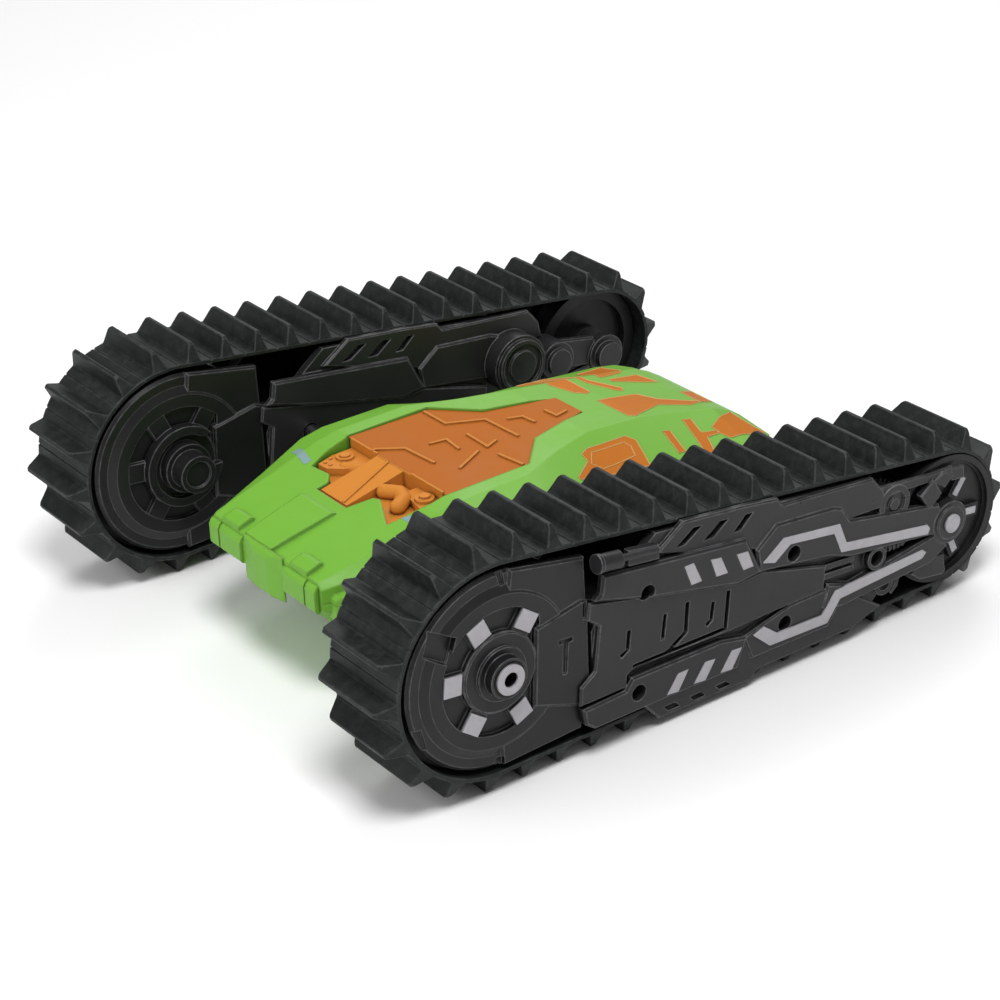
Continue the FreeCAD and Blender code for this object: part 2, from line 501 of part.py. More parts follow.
def cover_screws():
    """Sunk screws that hold the outer covers."""
    screws = []
    for x, z in SCREW_HOLES + (REAR_SCREW,):
        head = disc(x, z, 2.6, BELT_OUT - 1.4, BELT_OUT)
        slot = box(x - 2, x + 2, BELT_OUT - 0.7, BELT_OUT + 1, z - 0.4, z + 0.4)
        cross = box(x - 0.4, x + 0.4, BELT_OUT - 0.7, BELT_OUT + 1, z - 2, z + 2)
        screws.append(head.cut(slot).cut(cross))
    export("cover_screws", both_sides(Part.makeCompound(screws)))


# ---- the arm that carries the front wheel ----
ARM_TAIL = [(88, 81.4), (58, 75.5), (57.6, 62), (57.6, 22), (61, 11.8), (FRONT_X, 10.4), (FRONT_X, 40)]


ARM_NOTCHES = [[(128.2, 36.5), (124.4, 36.0), (122.6, 28), (125, 28)],
               [(93, 82.5), (91.5, 76.5), (89.6, 76.5), (90.5, 82.5)],
               [(96, 9), (96, 14), (93, 14), (93, 9)]]


def arm_face(sign, edge):
    """Disc and tail that close one side of the front wheel."""
    def y(d):
        return edge + sign * d

    def round_piece(r0, d0, r1, d1):
        lo, hi = (d0, d1) if sign > 0 else (d1, d0)
        ra, rb = (r0, r1) if sign > 0 else (r1, r0)
        if abs(ra - rb) < 1e-9:
            return disc(FRONT_X, FRONT_Z, ra, y(lo), y(hi))
        return cone(FRONT_X, FRONT_Z, ra, rb, y(lo), y(hi))

    rim = round_piece(35.4, -2.6, 35.4, -1.6)
    rim_edge = round_piece(35.4, -1.6, 34.2, -0.6)
    slope = round_piece(31.0, -0.7, 27.5, 0.9)
    plane = round_piece(27.5, 0.8, 27.5, 0.9)
    tail = panel(ARM_TAIL, y(-2.6), y(0.5), 0.8)
    groove = round_piece(22.6, -0.9, 22.6, 3.0).cut(round_piece(14.6, -1.0, 14.6, 4.0))
    keep = plate([(FRONT_X - 16.5, FRONT_Z + 30), (FRONT_X - 16.5, FRONT_Z - 30),
                  (FRONT_X - 40, FRONT_Z - 30), (FRONT_X - 40, FRONT_Z + 30)], y(-1), y(4))
    hub_plate = round_piece(14.4, 0.2, 13.8, 1.5)
    front = panel(TONGUE_FRONT, y(-1.0), y(1.5), 0.9)
    pads = [radial_bar(FRONT_X, FRONT_Z, a, 14.4, 22.6, 3.8, y(-1.0), y(0.8)) for a in front_bar_angles()]
    disc_body = join([rim, rim_edge, slope, plane, tail]).cut(groove.cut(keep))
    return join([disc_body, hub_plate, front] + pads), y


def front_bar_angles():
    """The bar that points to the frame is hidden by the arm's front panel, so it is left out."""
    return [a for a in bar_angles() if a != 186]


def arm_lug(y0, y1):
    """Ear that reaches back from the wheel to the pivot."""
    ear = plate([(62, 33), (38, 35), (38, 51), (62, 60)], y0, y1)
    return ear.fuse(disc(PIVOT_X, PIVOT_Z, 8, y0, y1))


def arm():
    body, y = arm_face(1, BELT_OUT)
    boss = disc(FRONT_X, FRONT_Z, 9.6, y(0), y(2.6)).fuse(disc(FRONT_X, FRONT_Z, 7.2, y(2.6), y(6.2)))
    ear = arm_lug(WHEEL_Y[1] + 0.8, y(-3.0))
    web = plate([(62, 33), (62, 60), (57.8, 60), (57.8, 33)], WHEEL_Y[1] + 0.8, y(0))
    pocket = plate([(113.3, 56), (122, 61.5), (119.5, 70), (110, 65)], y(-1.6), y(2))
    notches = [plate(n, y(-1.4), y(2)) for n in ARM_NOTCHES]
    cuts = [plate(g, y(0.6), y(4)) for g in ARM_GROOVES]
    cuts += [pocket] + notches
    cuts.append(disc(FRONT_X, FRONT_Z, AXLE_R, 100, BELT_OUT + 2.4))
    cuts.append(disc(FRONT_X, FRONT_Z, 6.2, BELT_OUT + 2.4, BELT_OUT + 9))
    cuts.append(disc(PIVOT_X, PIVOT_Z, PIN_R + FIT_GAP, 100, BELT_OUT + 4))
    body = join([body, boss, ear, web]).cut(Part.makeCompound(cuts)).removeSplitter()
    export_pair("arm_outer_cover", body)
    bars = [radial_bar(FRONT_X, FRONT_Z, a, 15.4, 22.2, 3.6, y(0.8), y(1.5)) for a in front_bar_angles()]
    bars.append(ring(FRONT_X, FRONT_Z, 5.4, 2.7, y(6.4), y(7.2)))
    export_pair("arm_silver_trim", Part.makeCompound(bars))
    inner_arm()


def inner_arm():
    body, y = arm_face(-1, BELT_IN)
    boss = disc(FRONT_X, FRONT_Z, 9.6, y(6.0), y(0)).fuse(disc(FRONT_X, FRONT_Z, 7.4, y(13.3), y(6.0)))
    c_ring = ring(FRONT_X, FRONT_Z, 16.0, 12.6, y(4.0), y(0))
    gap = box(FRONT_X - 20, FRONT_X - 6, y(6), y(0), FRONT_Z - 3, FRONT_Z + 10)
    ear = arm_lug(y(-3.0), WHEEL_Y[0] - 0.8)
    web = plate([(62, 33), (62, 60), (57.8, 60), (57.8, 33)], y(0), WHEEL_Y[0] - 0.8)
    cuts = [disc(FRONT_X, FRONT_Z, AXLE_R, y(9.5), 100), disc(FRONT_X, FRONT_Z, 5.2, y(14), y(12.3)),
            disc(PIVOT_X, PIVOT_Z, PIN_R, 60, 90)]
    body = join([body, boss, c_ring.cut(gap), ear, web]).cut(Part.makeCompound(cuts)).removeSplitter()
    export_pair("arm_inner_cover", body)
    shaft = disc(PIVOT_X, PIVOT_Z, PIN_R, LIFT_BOX_Y + 0.3, WHEEL_Y[0] - 0.8)
    export_pair("arm_lift_shaft", shaft)


# ---- the hull ----
# Each row is one cross-section: x, bottom z, bottom half width, side z, edge half width, edge z,
# deck half width and deck z.
HULL = [
    (107.5, 35.6, 33.0, 38.0, 36.0, 45.5, 33.5, 47.6),
    (100.0, 28.0, 36.0, 34.0, 38.6, 47.0, 35.0, 49.6),
    (80.0, 19.0, 40.0, 30.0, 44.0, 51.5, 36.0, 54.9),
    (60.0, 18.0, 43.0, 30.0, 49.0, 57.0, 37.5, 60.2),
    (50.0, 18.0, 43.5, 30.0, 49.6, 58.5, 38.0, 61.8),
    (20.0, 18.0, 43.5, 30.0, 49.8, 58.5, 38.0, 62.2),
    (2.0, 18.0, 43.5, 30.0, 49.8, 53.5, 30.0, 62.2),
    (-18.0, 18.0, 43.5, 30.0, 49.8, 49.5, 24.0, 62.0),
    (-45.0, 18.0, 43.0, 30.0, 49.6, 47.5, 22.0, 59.0),
    (-78.0, 20.0, 40.0, 30.0, 47.5, 45.5, 24.0, 52.8),
    (-86.0, 24.0, 38.0, 31.0, 45.0, 45.0, 24.0, 49.5),
    (-92.0, 28.5, 35.0, 32.0, 41.0, 43.5, 24.0, 45.8),
]
NOSE_X = HULL[0][0]
SPLIT_Z = 40.0
WALL = 2.2
LIFT_BOX_Y = 22.0


def section(row, shrink):
    x, z0, y0, zs, ye, ze, yd, zd = row
    w = shrink
    half = [(y0 - w, z0 + w), (ye - w, zs), (ye - w, ze - w * 0.6), (yd - w * 0.5, zd - w)]
    points = [V(x, y, z) for y, z in half]
    points += [V(x, -y, z) for y, z in reversed(half)]
    return Part.makePolygon(points + points[:1])


def loft(rows, shrink):
    return Part.makeLoft([section(r, shrink) for r in rows], True, True)


def hull_rows(inset):
    rows = [list(r) for r in HULL]
    rows[0][0] -= inset
    rows[-1][0] += inset
    return rows


def hull():
    outer = loft(HULL, 0)
    shell = outer.cut(loft(hull_rows(WALL), WALL))
    shaft = disc(PIVOT_X, PIVOT_Z, PIN_R + 0.5, -60, 60)
    bores = Part.makeCompound([Part.makeCylinder(1.6, 36, V(x, y, 10)) for x, y in HULL_SCREWS])
    export("hull_upper_shell", upper_shell(outer, shell).cut(shaft).cut(bores))
    export("hull_lower_tub", lower_tub(shell).cut(shaft).cut(bores))


def upper_shell(outer, shell):
    """The hull above the split, with the deck's seat, the pit's floor and four screw bosses."""
    upper = shell.common(box(-200, 200, -100, 100, SPLIT_Z, 100))
    seat = plate_z(grown(INLAY, 1.02), 58.4, 60.6)
    well = plate_z(grown(MECH_PIT, 1.07, 63), 51.2, 60)
    bosses = [Part.makeCylinder(4, 30, V(x, y, SPLIT_Z)) for x, y in HULL_SCREWS]
    inner = [piece.common(outer) for piece in [seat, well] + bosses]
    upper = join([upper] + inner + hood_relief() + fenders(SPLIT_Z, 60))
    return upper.cut(plate_z(INLAY, 60.6, 70)).cut(plate_z(MECH_PIT, 53.2, 70))


def hood_relief():
    """Low spine and two pads on the hood."""
    crest = [(NOSE_X, 46.6), (NOSE_X, 49.0), (100.0, 51.2), (83.0, 55.5), (81.0, 54.9), (81.0, 53.8),
             (100.0, 48.6)]
    plan = [(NOSE_X, -12.4), (NOSE_X, 4.4), (80, 6.6), (80, -13.9)]
    spine = plate(crest, -20, 20).common(plate_z(plan, 40, 60))
    pad = [(NOSE_X, 46.6), (NOSE_X, 49.2), (102.4, 51.0), (100.6, 50.4), (100.6, 48.4)]
    return [spine, plate(pad, 17.0, 27.4), plate(pad, -27.4, -17.0)]


def fenders(z0, z1):
    """Ledges along both front flanks, between two heights."""
    profile = plate([(104.5, 34.0), (104.5, 42.0), (103.4, 43.4), (82.0, 47.8), (82.0, 34.0)], 30, 50)
    plan = [(105, 34.0), (105, 39.8), (102, 42.0), (88, 44.6), (82, 44.6), (82, 41.0), (95, 37.0)]
    one = profile.common(plate_z(plan, z0, z1))
    return [one, one.mirror(V(0, 0, 0), V(0, 1, 0))]


def lower_tub(shell):
    """The hull below the split, with ledges, screw posts and openings for the battery, switch and charger."""
    lower = shell.common(box(-200, 200, -100, 100, 0, SPLIT_Z))
    ledges = [box(-62, 62, -41, -38, 20.2, 26), box(-62, 62, 38, 41, 20.2, 26)]
    posts = [Part.makeCylinder(4, SPLIT_Z - 20.2, V(x, y, 20.2)) for x, y in HULL_SCREWS]
    cuts = [disc(x, TUBE_Z, TUBE_R, -60, 60) for x in TUBE_X]
    cuts += [Part.makeCylinder(3.2, 8.2, V(x, y, 12)) for x, y in HULL_SCREWS]
    cuts.append(box(DOOR[0], DOOR[1], -DOOR[2], DOOR[2], 10, 24))
    cuts.append(box(SWITCH_X - 4.5, SWITCH_X + 4.5, 24.0, 28.6, 10, 24))
    cuts.append(Part.makeCylinder(2.6, 10, V(-78, 25, 14)))
    return join([lower] + ledges + posts + fenders(30, SPLIT_Z)).cut(Part.makeCompound(cuts))


HULL_SCREWS = ((70, 30), (70, -30), (-58, 36), (-58, -36))
DOOR = (-34.0, 30.0, 20.0)
SWITCH_X = -62.0
# the orange inlay's two outlines on the deck, x and y
INLAY = [(51, 31.5), (14.5, 31.5), (0, 16), (-28.5, 8), (-28.5, -8), (0, -16), (14.5, -31.5), (51, -31.5)]
MECH_PIT = [(49.8, 31), (49.8, -31), (61.8, -28.8), (69.8, -26.2), (68.8, -16), (71.9, -12.2), (76.7, -12.6),
            (77, 6.5), (67.9, 10.4), (66.9, 13.9), (74.1, 27.9), (70.2, 29), (58.1, 31.4)]
RIDGES = [[(50, -15.1), (48.8, -15.1), (40.3, -8.6), (39.2, 7.5)],
          [(17, -29.5), (17, -16.1), (3.7, -9.2), (3, 9.5)],
          [(31, -6), (24.6, -4.9), (25.7, 4.1)],
          [(-3.2, -4.3), (-8.2, -2.2), (-8.9, 4.1)],
          [(-17.8, -0.8), (-18.3, 5.5), (-23.2, 4.4)],
          [(16.3, -3.2), (16.8, 9.7), (11.6, 7.6)],
          [(17.4, 17.8), (15.9, 29.4)],
          [(34.3, 17.1), (21.9, 10.6)]]
RIDGE_HALF = 0.55
PIT_DRUMS = [(54.6, 23.4, 3.6, 59.0), (54.6, 23.4, 2.0, 59.9),
             (57.0, -23.6, 3.4, 58.6), (57.0, -23.6, 2.0, 59.2)]


def plate_z(points, z0, z1):
    corners = [V(x, y, z0) for x, y in points]
    return Part.Face(Part.makePolygon(corners + corners[:1])).extrude(V(0, 0, z1 - z0))


def grown(points, k, x0=0.0):
    """The outline scaled about the point (x0, 0)."""
    return [(x0 + (x - x0) * k, y * k) for x, y in points]


def ridge(points, z0, z1):
    """Raised line along the points."""
    bars = []
    for (xa, ya), (xb, yb) in zip(points, points[1:]):
        length = math.hypot(xb - xa, yb - ya)
        ux = (xb - xa) / length * RIDGE_HALF
        uy = (yb - ya) / length * RIDGE_HALF
        bars.append(plate_z([(xa - ux - uy, ya - uy + ux), (xb + ux - uy, yb + uy + ux),
                             (xb + ux + uy, yb + uy - ux), (xa - ux + uy, ya - uy - ux)], z0, z1))
    return join(bars)


def hose(points, r):
    """Round hose half sunk into the pit's floor, along points given in X and Y."""
    z = 56.6
    parts = [Part.makeSphere(r, V(x, y, z)) for x, y in points]
    for (xa, ya), (xb, yb) in zip(points, points[1:]):
        run = V(xb - xa, yb - ya, 0)
        parts.append(Part.makeCylinder(r, run.Length, V(xa, ya, z), run))
    return join(parts)


def deck_inlay():
    """Orange recessed plate, and the mechanical-looking blocks in the pit ahead of it."""
    base = plate_z(grown(INLAY, 0.985), 60.6, 61.3)
    lines = [ridge(points, 61.2, 62.0) for points in RIDGES]
    step = join([box(49.9, 50.8, -29, 29, 54.6, 61.2), box(49.9, 50.8, -29, -12, 61, 61.8),
                 box(49.9, 50.8, 9.6, 29, 61, 61.8)])
    floor = plate_z(grown(MECH_PIT, 0.985, 63), 53.2, 54.8)
    wedge = plate([(50.8, 54.6), (50.8, 61.0), (60, 58.9), (75.5, 55.5), (75.5, 54.6)], -11.6, 5.0)
    seam = plate([(50.8, 54.6), (50.8, 61.5), (60, 59.4), (75.2, 56.0), (75.2, 54.6)], -11.6, 5.0)
    seam = seam.common(ridge([(50.8, -4.6), (75.6, 2.4)], 54.6, 62))
    far_block = plate_z([(50.8, -28.6), (59.5, -28.4), (67.3, -25.6), (67.0, -20.5), (62.8, -16.4),
                         (56, -12.6), (50.8, -13)], 54.6, 57.8)
    near_block = plate_z([(50.8, 13.5), (57, 13.5), (60, 29), (50.8, 29)], 54.6, 57.8)
    hoses = [hose([(60.5, 6.8), (57.0, 11.3), (58.8, 16.6), (63.8, 19.8)], 2.9),
             hose([(60.6, -18.6), (57.0, -13.6), (53.2, -12.4)], 2.2)]
    drums = [Part.makeCylinder(r, z - 57.0, V(x, y, 57.0)) for x, y, r, z in PIT_DRUMS]
    studs = [Part.makeCylinder(0.7, 1.3, V(x, y, 57.0)) for x, y in
             ((65, -24.5), (64.5, -21.8), (61.5, -19), (61.8, -26), (58, -15.5))]
    parts = [base, step, floor, wedge, seam, far_block, near_block] + hoses + lines + drums + studs
    export("deck_inlay", join(parts))


def nose_bumper():
    """Chin with a bevelled front, and two blocks with a groove between them on either side of it."""
    plan = [(NOSE_X, -12.4), (108.4, -12.4), (109.8, -4.2), (109.8, 4.2), (107.9, 12.4), (NOSE_X, 12.4)]
    profile = [(NOSE_X, 31.2), (109.2, 31.2), (110.0, 32.0), (110.0, 45.4), (108.9, 47.6), (NOSE_X, 48.8)]
    chin = plate_z(plan, 20, 60).common(plate(profile, -20, 20))
    block = [(NOSE_X, 36.0), (108.8, 36.4), (109.5, 37.4), (109.5, 44.4), (108.7, 46.0), (NOSE_X, 46.8)]
    web = [(NOSE_X, 36.0), (108.3, 36.6), (108.3, 45.0), (NOSE_X, 46.2)]
    sides = []
    for low, high in ((13.8, 27.6), (28.4, 34.5)):
        sides += [plate(block, low, high), plate(block, -high, -low)]
    export("nose_bumper", join([chin, plate(web, -33.8, 33.8)] + sides))


def hull_internals():
    cells = [Part.makeCylinder(7.1, 48, V(-26, y, 31.4), V(1, 0, 0)) for y in (-11, 4, 19)]
    tray = box(-30, 26, -19.4, 27, 20.4, 24.2)
    export("battery_pack", join([tray] + cells))
    door = box(DOOR[0] + 0.3, DOOR[1] - 0.3, -DOOR[2] + 0.3, DOOR[2] - 0.3, 18.0, 20.2)
    grip = [box(DOOR[0] + 6 + 3 * k, DOOR[0] + 7.2 + 3 * k, -10, 10, 17.4, 18.0) for k in range(5)]
    export("battery_door", join([door] + grip).cut(Part.makeCylinder(1.6, 10, V(22, 0, 15))))
    screws = [Part.makeCylinder(1.6, 25.4, V(x, y, 20.2)).fuse(Part.makeCylinder(3.0, 1.4, V(x, y, 18.8)))
              for x, y in HULL_SCREWS]
    door_screw = Part.makeCylinder(1.6, 2.2, V(22, 0, 18))
    screws.append(door_screw.fuse(Part.makeCylinder(2.8, 0.8, V(22, 0, 17.2))))
    export("hull_screws", Part.makeCompound(screws))
    board = box(-74, -44, -30, 30, 32.0, 33.6)
    chips = [box(-70, -58, -20, -8, 33.6, 35.4), box(-68, -62, 2, 8, 33.6, 35.0),
             box(-54, -48, -6, 10, 33.6, 37.0)]
    legs = [box(x, x + 3, y, y + 3, 22.2, 32.0) for x in (-73, -50) for y in (-26, 14)]
    export("circuit_board", join([board] + chips + legs))
    slider = box(SWITCH_X - 2.0, SWITCH_X + 2.0, 24.6, 28.0, 17.0, 19.0)
    foot = box(SWITCH_X - 2.4, SWITCH_X + 2.4, 23.8, 28.8, 22.4, 23.6)
    stem = box(SWITCH_X - 1.2, SWITCH_X + 1.2, 25.2, 27.4, 19.0, 22.4)
    export("power_switch", join([slider, foot, stem]))
    case = box(SWITCH_X - 7, SWITCH_X + 7, 22, 30.6, 24.0, 29.0)
    socket = Part.makeCylinder(2.5, 9, V(-78, 25, 21.5)).cut(Part.makeCylinder(1.0, 7, V(-78, 25, 20)))
    export("charge_socket", join([socket, box(-80.5, -75.5, 22, 28, 27, 31)]))
    export("switch_case", case)
    gearbox = box(28, 60, -LIFT_BOX_Y, LIFT_BOX_Y, 34.5, 50.5)
    gearbox = gearbox.fuse(disc(PIVOT_X, PIVOT_Z, 6.5, -LIFT_BOX_Y, LIFT_BOX_Y))
    motor = Part.makeCylinder(7.5, 22, V(60, 0, 42.0), V(1, 0, 0))
    export("lift_gearbox", join([gearbox, motor]))
    y1 = 91.8
    tubes = [ring(x, TUBE_Z, TUBE_R, TUBE_R - 1.5, -y1, y1) for x in TUBE_X]
    export("cross_tubes", Part.makeCompound(tubes))


def build():
    os.makedirs("parts", exist_ok=True)
    belts()
    front_wheel()
    rear_sprocket()
    gear_train()
    road_wheels()
    frame_covers()
    frame_inner_cover()
    frame_core()
    damper()
    cover_screws()
    arm()
    hull()
    deck_inlay()
    nose_bumper()
    hull_internals()


build()
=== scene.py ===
import json
import math

import bmesh
import bpy
from mathutils import Matrix, Vector
from mathutils.bvhtree import BVHTree
from mathutils.geometry import delaunay_2d_cdt


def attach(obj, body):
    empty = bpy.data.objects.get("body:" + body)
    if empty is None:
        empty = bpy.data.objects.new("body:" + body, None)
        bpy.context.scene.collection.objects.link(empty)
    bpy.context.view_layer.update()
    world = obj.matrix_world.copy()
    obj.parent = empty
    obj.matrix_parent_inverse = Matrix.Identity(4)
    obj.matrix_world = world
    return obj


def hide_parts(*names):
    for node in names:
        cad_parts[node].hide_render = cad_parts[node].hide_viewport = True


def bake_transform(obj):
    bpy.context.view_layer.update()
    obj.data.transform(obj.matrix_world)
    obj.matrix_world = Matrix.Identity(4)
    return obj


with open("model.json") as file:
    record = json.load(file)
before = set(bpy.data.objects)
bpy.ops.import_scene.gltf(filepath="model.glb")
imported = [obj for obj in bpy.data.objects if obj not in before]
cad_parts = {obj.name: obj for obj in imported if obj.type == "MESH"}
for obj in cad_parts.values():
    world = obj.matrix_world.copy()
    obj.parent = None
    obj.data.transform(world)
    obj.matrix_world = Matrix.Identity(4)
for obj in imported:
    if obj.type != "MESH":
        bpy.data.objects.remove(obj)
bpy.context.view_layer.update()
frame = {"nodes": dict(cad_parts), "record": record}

MM = 0.001
SIDES = (("left", 1), ("right", -1))

# Belt, as in the CAD, in millimetres. Each hub is x, z and the belt's outer radius there.
FRONT = (93.9, 46.3, 39.4)
REAR = (-106.1, 33.6, 26.7)
WHEEL_BASE = 200.0
BELT_OUT = 118.6
BELT_IN = 80.3
BELT_THICK = 1.6
GUIDE_OUT = 101.5         # the guide rib inside the belt
GUIDE_IN = 97.4
GUIDE_HEIGHT = 2.5
CREASE_DEPTH = 0.45
LUG_HEIGHT = 6.9
LUG_COUNT = 42
LUG_PHASE = {"left": 5.2, "right": 5.0}

# paint on the hull, in millimetres
PAINT_LIFT = 0.08
LABEL_LIFT = 0.06
SKIRT_DEPTH = 0.2         # how far a patch's edge reaches into the hull
OVER_HULL = 200           # height that the hull is searched from
MID_HULL = 50

CORNER_REACH = 2.2        # how near walls paint shade into a corner, in millimetres


# ---- mesh tools ----
def mesh_object(name, points, faces, material):
    """Object from points in millimetres."""
    mesh = bpy.data.meshes.new(name)
    mesh.from_pydata([Vector(p) * MM for p in points], [], faces)
    mesh.validate()
    obj = bpy.data.objects.new(name, mesh)
    bpy.context.scene.collection.objects.link(obj)
    mesh.materials.append(material)
    return obj


def bevel_sharp(obj, width, segments, angle):
    """Takes the sharpness off the edges and keeps the flat faces flat."""
    bm = bmesh.new()
    bm.from_mesh(obj.data)
    bmesh.ops.remove_doubles(bm, verts=bm.verts, dist=1e-7)
    bmesh.ops.recalc_face_normals(bm, faces=bm.faces)
    limit = math.radians(angle)
    edges = [e for e in bm.edges if len(e.link_faces) == 2 and e.calc_face_angle(0) > limit]
    bmesh.ops.bevel(bm, geom=edges, offset=width * MM, segments=segments, profile=0.5,
                    affect="EDGES", clamp_overlap=True)
    bm.to_mesh(obj.data)
    bm.free()


# ---- materials ----
def links(tree):
    """A function that adds a node with its inputs, each a value or another node's output."""
    def node(kind, inputs=(), **settings):
        n = tree.nodes.new(kind)
        for k, v in settings.items():
            setattr(n, k, v)
        for k, v in dict(inputs).items():
            if isinstance(v, bpy.types.NodeSocket):
                tree.links.new(v, n.inputs[k])
            else:
                n.inputs[k].default_value = v
        return n
    return node


def noise(node, where, scale, detail, roughness=0.5):
    return node("ShaderNodeTexNoise", {"Vector": where, "Scale": scale, "Detail": detail,
                                       "Roughness": roughness}).outputs[0]


def spread(node, value, low, high, to_low, to_high):
    """Maps low to high onto to_low to to_high, and clamps beyond them."""
    return node("ShaderNodeMapRange", {"Value": value, "From Min": low, "From Max": high,
                                       "To Min": to_low, "To Max": to_high}).outputs[0]


def product(node, a, b):
    return node("ShaderNodeMath", {0: a, 1: b}, operation="MULTIPLY").outputs[0]


def mixed(node, share, a, b, **settings):
    return node("ShaderNodeMix", {0: share, 6: a, 7: b}, data_type="RGBA", **settings).outputs[2]


def soft_edges(node, radius, patchy):
    """Normal with rounded edges, and how far each point lies on an edge that is lightened as wear and
    painted highlight.
    """
    soft = node("ShaderNodeBevel", {"Radius": radius * MM}, samples=4).outputs[0]
    flat = node("ShaderNodeNewGeometry").outputs["Normal"]
    same = node("ShaderNodeVectorMath", {0: soft, 1: flat}, operation="DOT_PRODUCT").outputs["Value"]
    rim = spread(node, same, 0.998, 0.93, 0.0, 1.0)
    return soft, product(node, rim, spread(node, patchy, 0.38, 0.62, 0.35, 1.0))


def painted(node, where, shade, zones):
    """The shade, with other colours above the zones' levels."""
    for axis, level, paint in zones:
        place = node("ShaderNodeSeparateXYZ", {0: where}).outputs[axis]
        above = node("ShaderNodeMath", {0: place, 1: level * MM}, operation="GREATER_THAN").outputs[0]
        shade = mixed(node, above, shade, (*paint, 1))
    return shade


# Painted shade: the colour is darkened where nearby walls hide a point, in corners, creases and gaps.
def painted_corner_shade(node, shade, corner_shade):
    openness = node("ShaderNodeAmbientOcclusion", {"Distance": CORNER_REACH * MM}, samples=6).outputs["AO"]
    unshaded_share = spread(node, openness, 0.25, 0.85, 0.12, 1.0)
    return mixed(node, corner_shade, shade, unshaded_share, blend_type="MULTIPLY")


def uneven_gloss(node, broad, middle, rough, vary):
    gloss = spread(node, broad, 0.3, 0.7, max(0.02, rough - vary), min(1.0, rough + vary))
    finer = spread(node, middle, 0.3, 0.7, -vary * 0.4, vary * 0.4)
    return node("ShaderNodeMath", {0: gloss, 1: finer}, operation="ADD", use_clamp=True).outputs[0]


def grained(node, normal, fine, middle, grain):
    bump = node("ShaderNodeBump", {"Strength": grain, "Distance": 0.00012, "Height": fine,
                                   "Normal": normal}).outputs[0]
    return node("ShaderNodeBump", {"Strength": grain * 0.5, "Distance": 0.0004, "Height": middle,
                                   "Normal": bump}).outputs[0]


def surface(name, colour, rough, metallic=0.0, vary=0.10, rough_vary=0.10, grain=0.12, grain_scale=2600,
            edge_wear_and_highlight=0.35, worn_and_highlight_colour=None, mottle=0.0, edge=0.35, spec=0.5, zones=(), corner_shade=0.7):
    """Plastic, rubber or paint with soft edges, fine grain, uneven gloss, edges lightened as wear and
    painted highlight, and painted shade in corners.

    Each zone is an axis, a level in millimetres and the colour of whatever lies above that level."""
    m = bpy.data.materials.new(name)
    m.use_nodes = True
    m.node_tree.nodes.clear()
    node = links(m.node_tree)
    where = node("ShaderNodeTexCoord").outputs["Object"]
    broad = noise(node, where, 38.0, 4.0, 0.6)
    middle = noise(node, where, 260.0, 5.0, 0.65)
    fine = noise(node, where, float(grain_scale), 3.0)
    soft, edges = soft_edges(node, edge, middle)
    base = Vector(colour)
    shade = mixed(node, broad, (*(base * (1 - vary)), 1), (*(base * (1 + vary)), 1))
    shade = painted(node, where, shade, zones)
    if mottle:
        spots = spread(node, middle, 0.45, 0.75, 0.0, mottle)
        shade = mixed(node, spots, shade, (*(base * 2.2 + Vector((0.02, 0.02, 0.02))), 1))
    shade = painted_corner_shade(node, shade, corner_shade)
    # Edges are lightened towards a pale colour: partly rubbed wear, partly painted highlight.
    pale = worn_and_highlight_colour or tuple(min(1.0, c * 1.5 + 0.05) for c in colour)
    shade = mixed(node, product(node, edges, edge_wear_and_highlight), shade, (*pale, 1))
    gloss = uneven_gloss(node, broad, middle, rough, rough_vary)
    bump = grained(node, soft, fine, middle, grain)
    shader = node("ShaderNodeBsdfPrincipled", {"Base Color": shade, "Roughness": gloss, "Metallic": metallic,
                                               "Normal": bump, "Specular IOR Level": spec})
    node("ShaderNodeOutputMaterial", {"Surface": shader.outputs[0]})
    return m


